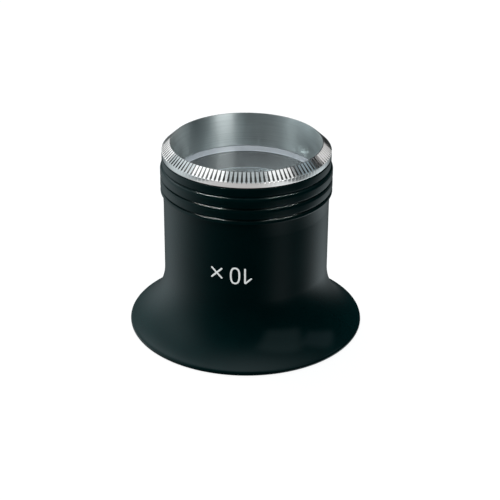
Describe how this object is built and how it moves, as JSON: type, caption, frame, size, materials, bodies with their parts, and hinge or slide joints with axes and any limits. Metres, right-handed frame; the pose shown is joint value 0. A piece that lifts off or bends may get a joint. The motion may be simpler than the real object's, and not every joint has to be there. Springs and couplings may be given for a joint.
{
  "type": "viewing loupe",
  "caption": "Black moulded loupe with a flared eye cup, a knurled metal ring that screws into its ribbed top, and a lens pair held under the ring.",
  "frame": {"origin": "centre of the eye cup's resting face", "axes": "+Z is the optical axis, from the eye cup up to the screw ring; X and Y are level, and -Y is the side that carries the power mark"},
  "size_m": [0.0412, 0.0412, 0.0342],
  "materials": {
    "black_plastic": "satin-gloss moulded black",
    "turned_aluminium": "fine turned, bright knurl",
    "black_aluminium": "black anodised, satin",
    "lens_glass": "polished clear"
  },
  "bodies": {
    "housing": {"housing": "black_plastic"},
    "lens_stack": {"front_lens": "lens_glass", "spacer_ring": "black_aluminium", "rear_lens": "lens_glass"},
    "ring": {"screw_ring": "turned_aluminium"}
  },
  "joints": [
    {"name": "stack_lift", "type": "slide", "parent": "housing", "child": "lens_stack", "axis": [0, 0, 1], "range_m": [0, 0.00301]},
    {"name": "ring_turn", "type": "hinge", "parent": "lens_stack", "child": "ring", "pos_m": [0, 0, 0.032], "axis": [0, 0, 1], "range_deg": [0, 1440]}
  ],
  "couplings": [
    {"joint": "stack_lift", "follows": "ring_turn", "m_per_rad": 0.00011937}
  ]
}
